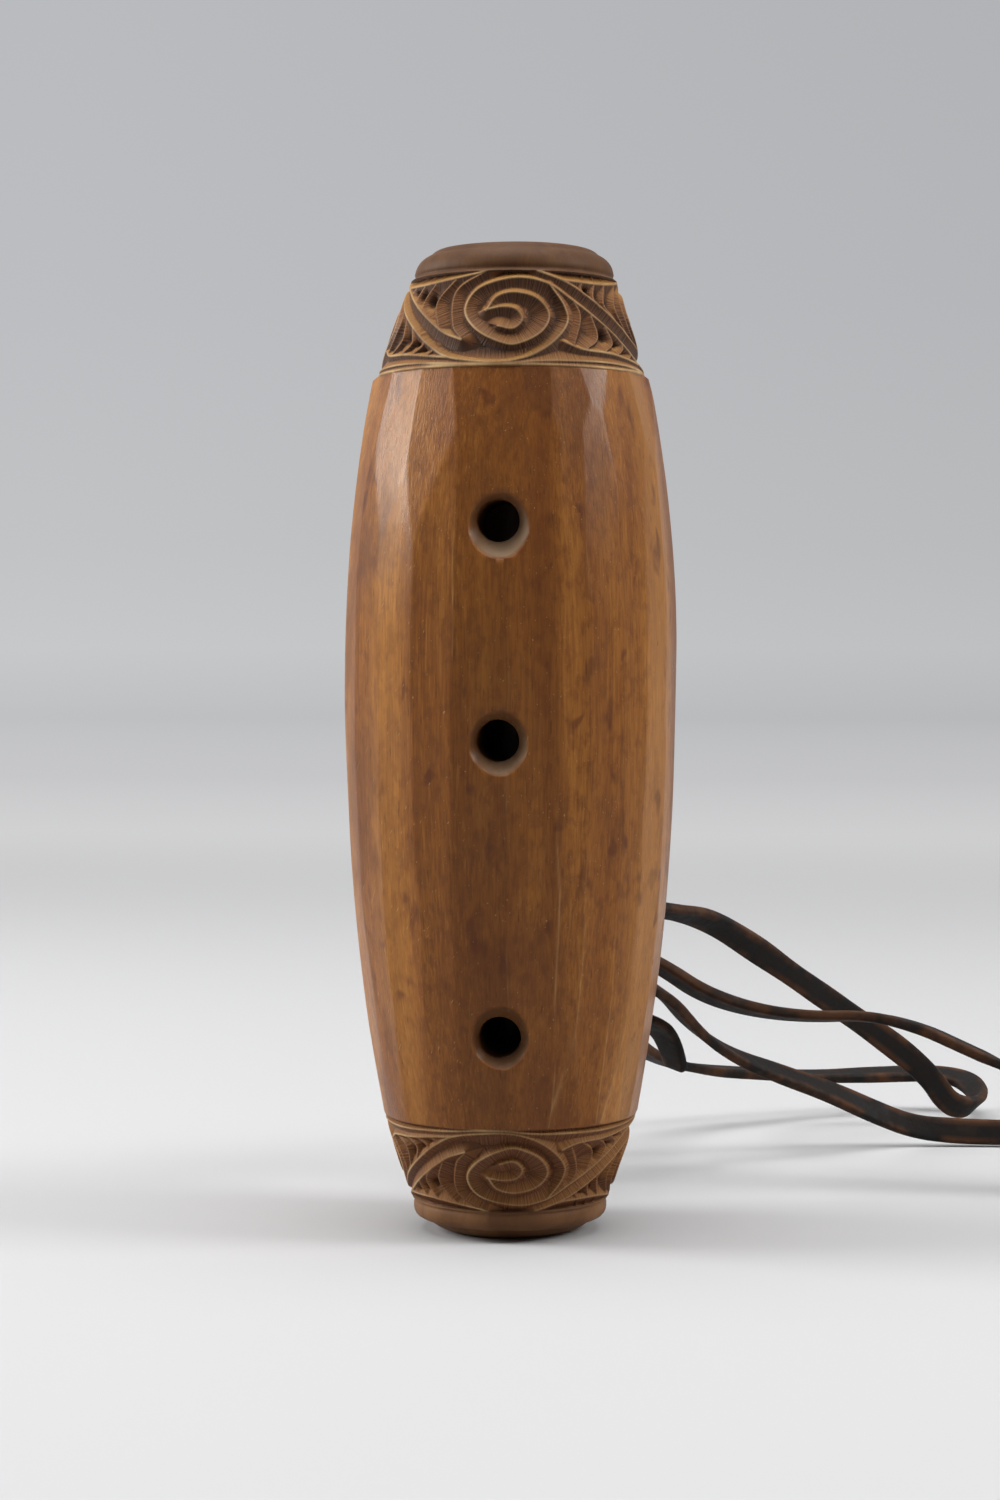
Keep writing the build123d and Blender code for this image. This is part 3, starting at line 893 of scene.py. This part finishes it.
def wood_material():
    n = Nodes("aged_wood")
    _, _, up = n.axes()
    carved = n.attribute("carved")
    in_band = n.attribute("in_band")
    marks = n.line_noise(n.attribute("along"), 4.0)
    tone, fine, patina = wood_tone(n)
    tone = edge_light_and_shade_tone(n, tone)
    tone = band_tone(n, tone, marks, carved, in_band, patina, up)
    tone = end_tone(n, tone, patina, up)
    n.link(tone, n.shader.inputs["Base Color"])
    dull = n.math("MAXIMUM", n.both(in_band, 0.2), n.both(n.attribute("collar"), 0.22))
    n.link(n.math("ADD", n.span(patina, 0.3, 0.7, 0.27, 0.4), dull), n.shader.inputs["Roughness"])
    n.shader.inputs["Specular IOR Level"].default_value = 0.22
    n.shader.inputs["Specular Tint"].default_value = (1.0, 0.96, 0.9, 1.0)
    grain = n.bump(fine, 0.00012, 0.3)
    grain = n.bump(n.both(marks, n.both(in_band, carved)), 0.0003, 0.8, grain)
    grain = n.bump(n.noise((420, 420, 260), 3.0, 0.6), 0.00012, 0.3, grain)
    n.link(grain, n.shader.inputs["Normal"])
    return n.material


def leather_material():
    n = Nodes("thong_leather")
    hide = n.noise((500, 500, 500), 4.0, 0.65)
    worn = n.noise((140, 140, 140), 3.0, 0.6)
    creases = n.noise((1500, 1500, 1500), 3.0, 0.7, 0.5)
    rub = n.both(n.attribute("edge"), n.span(worn, 0.38, 0.66))
    tone = n.mix(n.span(hide, 0.35, 0.7), colour(14, 11, 10), colour(30, 23, 19))
    tone = n.mix(n.both(rub, 0.7), tone, colour(94, 60, 36))
    tone = n.tint(tone, worn, 0.64, 0.82, 0.25, colour(72, 54, 42))
    n.link(tone, n.shader.inputs["Base Color"])
    n.link(n.span(hide, 0.3, 0.7, 0.6, 0.8), n.shader.inputs["Roughness"])
    n.shader.inputs["Specular IOR Level"].default_value = 0.22
    normal = n.bump(creases, 0.00015, 0.5)
    n.link(n.bump(hide, 0.0002, 0.5, normal), n.shader.inputs["Normal"])
    return n.material


# Thong: routes in millimetres, from the knot and back to it
short_loop_points = (
    (4.8, 37.8, 42.1), (11.0, 43.5, 43.2), (21.5, 51.0, 41.5), (27.5, 60.5, 39.5), (35.0, 70.0, 34.0),
    (43.0, 79.0, 27.5), (51.5, 86.5, 21.0), (60.0, 93.0, 14.5), (66.0, 96.5, 9.0), (69.0, 98.5, 4.2),
    (72.5, 102.0, 2.6), (75.0, 107.5, 2.9), (75.5, 113.5, 4.4), (72.7, 117.5, 6.0), (67.0, 117.2, 6.8),
    (57.5, 112.5, 7.0), (45.5, 106.0, 7.4), (34.5, 98.0, 9.0), (25.5, 90.0, 10.6), (17.5, 78.5, 14.2),
    (11.5, 63.5, 22.5), (4.5, 50.0, 32.0), (0.5, 39.6, 38.8),
)
long_loop_points = (
    (6.8, 33.8, 39.5), (13.0, 34.3, 38.0), (21.0, 36.0, 34.0), (27.0, 37.5, 29.7), (35.0, 39.0, 27.0),
    (44.0, 39.5, 26.0), (53.0, 39.5, 26.4), (61.0, 38.0, 24.6), (67.0, 36.5, 22.0), (74.0, 35.0, 19.0),
    (85.5, 33.5, 13.5), (97.5, 33.5, 8.0), (108.5, 38.0, 4.0), (115.0, 46.5, 2.7), (116.0, 57.5, 2.5),
    (111.5, 68.0, 2.5), (102.0, 74.0, 2.5), (90.0, 77.0, 2.5), (78.0, 77.0, 2.4), (69.5, 77.2, 2.5),
    (62.0, 76.5, 3.2), (55.5, 74.0, 6.0), (48.0, 69.0, 10.0), (40.0, 63.5, 13.5), (31.5, 57.0, 17.5),
    (25.5, 51.5, 22.5), (20.5, 45.5, 29.5), (12.0, 40.0, 33.0), (4.3, 36.4, 36.1),
)
tail_points = (
    (1.0, 33.2, 34.4), (3.0, 36.5, 28.6), (9.5, 43.5, 25.5), (18.5, 50.0, 24.0), (21.5, 55.0, 20.5),
    (22.5, 58.0, 15.5),
)
tunnel_points = ((0, 30.2, 46.6), (0, 24.1, 49.4), (0, 15.7, 41.0), (0, 24.1, 32.6), (0, 30.2, 35.4))
# Turn of the thong along each route: share of its length, degrees from standing on edge to lying flat
short_tilts = (
    (0.0, 60), (0.10, 66), (0.17, 40), (0.26, 10), (0.40, 15), (0.46, 50), (0.56, 75), (0.75, 88),
    (1.0, 80),
)
long_tilts = (
    (0.0, 60), (0.08, 66), (0.20, 84), (0.25, 88), (0.32, 40), (0.38, 4), (0.5, 0), (0.62, 0), (0.72, 20),
    (0.8, 52), (0.9, 74), (1.0, 70),
)
tail_tilts = ((0.0, 86), (0.6, 60), (1.0, 112))
tunnel_tilts = ((0.0, 90), (1.0, 90))
# Unevenness of the thong's width and thickness: share of the size, length of a wave in mm, start by seed
width_waves = ((0.05, 7.3, 1), (0.03, 2.9, 2))
thickness_waves = ((0.06, 5.1, 3),)
thong_rounding = 0.34


def route_line(name, points):
    """Points along the smooth line of a route, in metres."""
    curve = bpy.data.curves.new(name, "CURVE")
    curve.dimensions = "3D"
    curve.resolution_u = 10
    spline = curve.splines.new("NURBS")
    spline.points.add(len(points) - 1)
    for point, place in zip(spline.points, points):
        point.co = (*(step * MM for step in place), 1.0)
    spline.order_u = 3
    spline.use_endpoint_u = True
    holder = add_object(name, curve)
    bpy.context.view_layer.update()
    line_mesh = bpy.data.meshes.new_from_object(holder)
    line = np.array([vertex.co for vertex in line_mesh.vertices])
    bpy.data.objects.remove(holder)
    bpy.data.meshes.remove(line_mesh)
    return line


def strip_section(width, thickness, count=5):
    """Corner-rounded outline of the thong, as (across, out, edge) with edge 1 at its two narrow sides."""
    half, out = width / 2, thickness / 2
    rounding = thong_rounding * thickness
    places = []
    for side_x, side_y, start in ((1, 1, 0), (-1, 1, 90), (-1, -1, 180), (1, -1, 270)):
        for number in range(count):
            turn = math.radians(start + 90 * number / (count - 1))
            across = side_x * (half - rounding) + rounding * math.cos(turn)
            places.append((across, side_y * (out - rounding) + rounding * math.sin(turn), 1.0))
        if side_x * side_y > 0:
            for share in (0.25, 0.5, 0.75):
                places.append((side_x * (half - rounding) * (1 - 2 * share), side_y * out, 0.0))
    return np.array(places)


def uneven(way, waves, seed):
    return 1 + sum(share * np.sin(way / wave + start * seed) for share, wave, start in waves)


def make_strip(name, line, tilts, across=None, seed=0):
    """A flat strip of thong along a line, turned by its tilts."""
    steps = np.linalg.norm(np.diff(line, axis=0), axis=1)
    shares = np.concatenate(((0.0,), np.cumsum(steps))) / steps.sum()
    ahead = np.gradient(line, axis=0)
    ahead /= np.linalg.norm(ahead, axis=1)[:, None]
    side = np.cross(ahead, (0.0, 0.0, 1.0)) if across is None else np.tile(across, (len(line), 1))
    side -= ahead * (side * ahead).sum(1)[:, None]
    side /= np.linalg.norm(side, axis=1)[:, None]
    up = np.cross(side, ahead)
    tilt = np.radians(np.interp(shares, *zip(*tilts)))[:, None]
    wide = np.cos(tilt) * up + np.sin(tilt) * side
    thick = np.cross(ahead, wide)
    section = strip_section(thong_width, thong_thickness)
    way = shares * steps.sum() / MM
    swell = uneven(way, width_waves, seed)
    thin = uneven(way, thickness_waves, seed)
    points = (
        line[:, None, :]
        + wide[:, None, :] * (section[None, :, :1] * swell[:, None, None])
        + thick[:, None, :] * (section[None, :, 1:2] * thin[:, None, None])
    )
    mesh = bpy.data.meshes.new(name)
    mesh.from_pydata(points.reshape(-1, 3).tolist(), [], ring_faces(len(line), len(section)))
    mesh.update()
    add_attribute(mesh, "edge", np.tile(section[:, 2], len(line)))
    mesh.polygons.foreach_set("use_smooth", np.ones(len(mesh.polygons), bool))
    return add_object(name, mesh)


def finish_piece(piece, material, slot, *nodes):
    piece.data.materials.clear()
    piece.data.materials.append(material)
    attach(piece, "root")
    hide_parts(*nodes)


# Stage, light and camera, in metres
stage_back = 4.0
stage_half_width = 4.0
stage_bend = 0.3
bend_steps = 8
wall_height = 3.0
aim_height = 0.07
world_light = 0.06


def seen_share(tree):
    """1 where a surface is seen by the camera, in gloss or through glass, and 0 where it only lights."""
    path = tree.nodes.new("ShaderNodeLightPath")
    share = path.outputs["Is Camera Ray"]
    for kind in ("Is Glossy Ray", "Is Transmission Ray"):
        larger = tree.nodes.new("ShaderNodeMath")
        larger.operation = "MAXIMUM"
        tree.links.new(share, larger.inputs[0])
        tree.links.new(path.outputs[kind], larger.inputs[1])
        share = larger.outputs[0]
    return share


# Tone of the floor where it lights the object, and where it is seen
floor_lighting = (0.36, 0.36, 0.36, 1.0)
floor_seen = (0.595, 0.595, 0.6, 1.0)
# Colours far from the object, where the paper glows: share of the way, colour, darker further away as a
# painted falloff of the lamps' light
floor_falloff_tones = (
    (0.0, colour(217, 217, 218)), (0.14, colour(208, 208, 209)), (0.34, colour(196, 196, 198)),
    (0.9, colour(186, 187, 189)),
)
# Painted falloff of the lamps' light up the wall
wall_falloff_tones = (
    (0.0, colour(186, 187, 189)), (0.09, colour(193, 194, 196)), (0.23, colour(188, 189, 191)),
    (0.56, colour(183, 184, 187)), (1.0, colour(180, 181, 184)),
)
# Painted light across the glowing paper: brighter on the left, where the stronger lamp stands
side_light_tones = ((0.0, (1.07, 1.07, 1.07, 1.0)), (1.0, (0.93, 0.93, 0.93, 1.0)))


def paper_material():
    """White paper that, far from the object, fades into a glow with painted light: darker away from the
    lamps and brighter on the left. Behind the object the glow lights it too.
    """
    n = Nodes("paper")
    seen = seen_share(n.tree)
    n.link(n.mix(seen, floor_lighting, floor_seen), n.shader.inputs["Base Color"])
    n.shader.inputs["Roughness"].default_value = 0.9
    n.shader.inputs["Specular IOR Level"].default_value = 0.1
    across, back, up = n.axes()
    away = n.math("MAXIMUM", n.math("ABSOLUTE", across), n.math("ABSOLUTE", back))
    far_floor = n.ramp(n.span(away, 0.4, stage_back, smooth=False), floor_falloff_tones)
    wall = n.ramp(n.span(up, 0.0, 1.1, smooth=False), wall_falloff_tones)
    tone = n.mix(n.span(up, 0.0, 0.02), far_floor, wall)
    sides = n.ramp(n.span(across, -1.0, 1.0, smooth=False), side_light_tones)
    glow = n.tree.nodes.new("ShaderNodeEmission")
    n.link(n.mix(1.0, tone, sides, "MULTIPLY"), glow.inputs["Color"])
    aside = n.both(seen, n.span(away, 0.45, 1.1))
    share = n.tree.nodes.new("ShaderNodeMixShader")
    n.link(n.math("MAXIMUM", n.span(back, 0.35, 1.0), aside), share.inputs[0])
    n.link(n.shader.outputs[0], share.inputs[1])
    n.link(glow.outputs[0], share.inputs[2])
    n.link(share.outputs[0], n.tree.nodes["Material Output"].inputs["Surface"])
    return n.material


def make_stage():
    """A pale floor that bends up into a grey wall far behind."""
    bend_start = stage_back - stage_bend
    profile = [(-stage_back, 0.0), (bend_start, 0.0)]
    for number in range(1, bend_steps + 1):
        turn = math.radians(90 * number / bend_steps)
        profile.append((bend_start + stage_bend * math.sin(turn), stage_bend * (1 - math.cos(turn))))
    profile.append((stage_back, wall_height))
    points = [(side * stage_half_width, back, up) for back, up in profile for side in (-1, 1)]
    faces = [(2 * n, 2 * n + 1, 2 * n + 3, 2 * n + 2) for n in range(len(profile) - 1)]
    mesh = bpy.data.meshes.new("floor")
    mesh.from_pydata(points, [], faces)
    mesh.polygons.foreach_set("use_smooth", np.ones(len(faces), bool))
    floor = add_object("floor", mesh)
    mesh.materials.append(paper_material())


def area_light(name, place, size, power):
    light = bpy.data.lights.new(name, "AREA")
    light.shape = "RECTANGLE"
    light.size, light.size_y = size
    light.energy = power
    lamp = add_object(name, light)
    lamp.location = place
    aim = Vector((0, 0, aim_height)) - Vector(place)
    lamp.rotation_euler = aim.to_track_quat("-Z", "Y").to_euler()


def make_light():
    area_light("left_box", (-0.9, 0.0, 0.45), (0.42, 0.4), 8.0)
    area_light("right_box", (0.93, -0.12, 0.6), (0.36, 0.36), 6.0)
    area_light("top_box", (0.0, -0.1, 1.35), (1.4, 1.2), 17.0)
    world = bpy.data.worlds.new("studio")
    bpy.context.scene.world = world
    world.use_nodes = True
    sky = world.node_tree.nodes["Background"]
    sky.inputs["Color"].default_value = colour(184, 185, 187)
    level = world.node_tree.nodes.new("ShaderNodeMapRange")
    world.node_tree.links.new(seen_share(world.node_tree), level.inputs["Value"])
    level.inputs["To Min"].default_value = world_light
    world.node_tree.links.new(level.outputs["Result"], sky.inputs["Strength"])


def make_camera():
    camera = bpy.data.cameras.new("camera")
    camera.sensor_fit = "VERTICAL"
    camera.sensor_height = 36.0
    camera.lens = 71.57
    camera.clip_start = 0.01
    holder = add_object("camera", camera)
    holder.location = (0.0336, -0.4267, 0.0817)
    holder.rotation_euler = (math.radians(88.271), 0.0, math.radians(4.7))
    bpy.context.scene.camera = holder


bpy.context.scene.view_settings.view_transform = "Standard"
make_stage()
make_light()
make_camera()

leather = leather_material()
tunnel_line = route_line("tunnel_route", tunnel_points)
tunnel_turn = make_strip("tunnel_turn", tunnel_line, tunnel_tilts, across=(1.0, 0.0, 0.0), seed=1)
finish_piece(tunnel_turn, leather, "thong_leather", "thong_tunnel_turn")

short_line = route_line("short_route", short_loop_points)
short_loop = make_strip("short_loop", short_line, short_tilts, seed=2)
finish_piece(short_loop, leather, "thong_leather", "thong_short_loop")

long_line = route_line("long_route", long_loop_points)
long_loop = make_strip("long_loop", long_line, long_tilts, seed=3)
finish_piece(long_loop, leather, "thong_leather", "thong_long_loop")

tail_line = route_line("tail_route", tail_points)
tail = make_strip("tail", tail_line, tail_tilts, seed=4)
finish_piece(tail, leather, "thong_leather", "thong_tail")

knot = frame["nodes"]["thong_knot"]
knot.data.materials.clear()
knot.data.materials.append(leather)

flute = make_flute()
cut_holes(flute)
mark_flute(flute)
lean_top(flute)
flute.data.polygons.foreach_set("use_smooth", np.ones(len(flute.data.polygons), bool))
finish_piece(flute, wood_material(), "wood", "flute_body")
